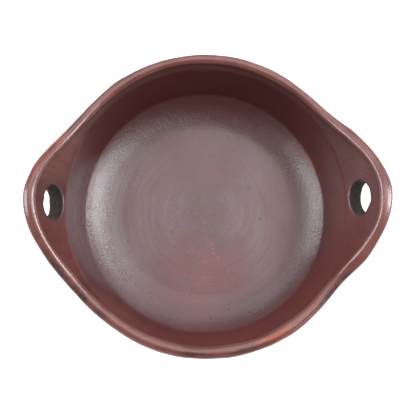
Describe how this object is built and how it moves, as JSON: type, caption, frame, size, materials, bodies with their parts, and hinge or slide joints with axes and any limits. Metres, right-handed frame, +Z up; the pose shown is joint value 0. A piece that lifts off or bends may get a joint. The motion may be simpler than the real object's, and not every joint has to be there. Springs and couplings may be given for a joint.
{
  "type": "clay cooking dish",
  "caption": "Round burnished clay dish with a flat floor, sloping wall, rounded rim and upswept lug handles, each pierced by an oval finger hole.",
  "frame": {"origin": "centre of the flat foot, on the surface that the dish stands on", "axes": "+X towards the right lug handle, +Y to the back, +Z up out of the bowl"},
  "size_m": [0.2813, 0.2386, 0.0871],
  "materials": {
    "floor_clay": "burnished, smoke-greyed in the middle",
    "cove_clay": "burnished, turned rings",
    "wall_clay": "burnished dark red-brown",
    "rim_clay": "burnished, rubbed paler",
    "handle_clay": "burnished by hand"
  },
  "bodies": {
    "root": {"base_disc": "floor_clay", "lower_wall": "cove_clay", "upper_wall": "wall_clay", "rim_back": "rim_clay", "rim_front": "rim_clay", "right_handle_web": "handle_clay", "right_handle_roll": "rim_clay", "left_handle_web": "handle_clay", "left_handle_roll": "rim_clay"}
  },
  "joints": []
}
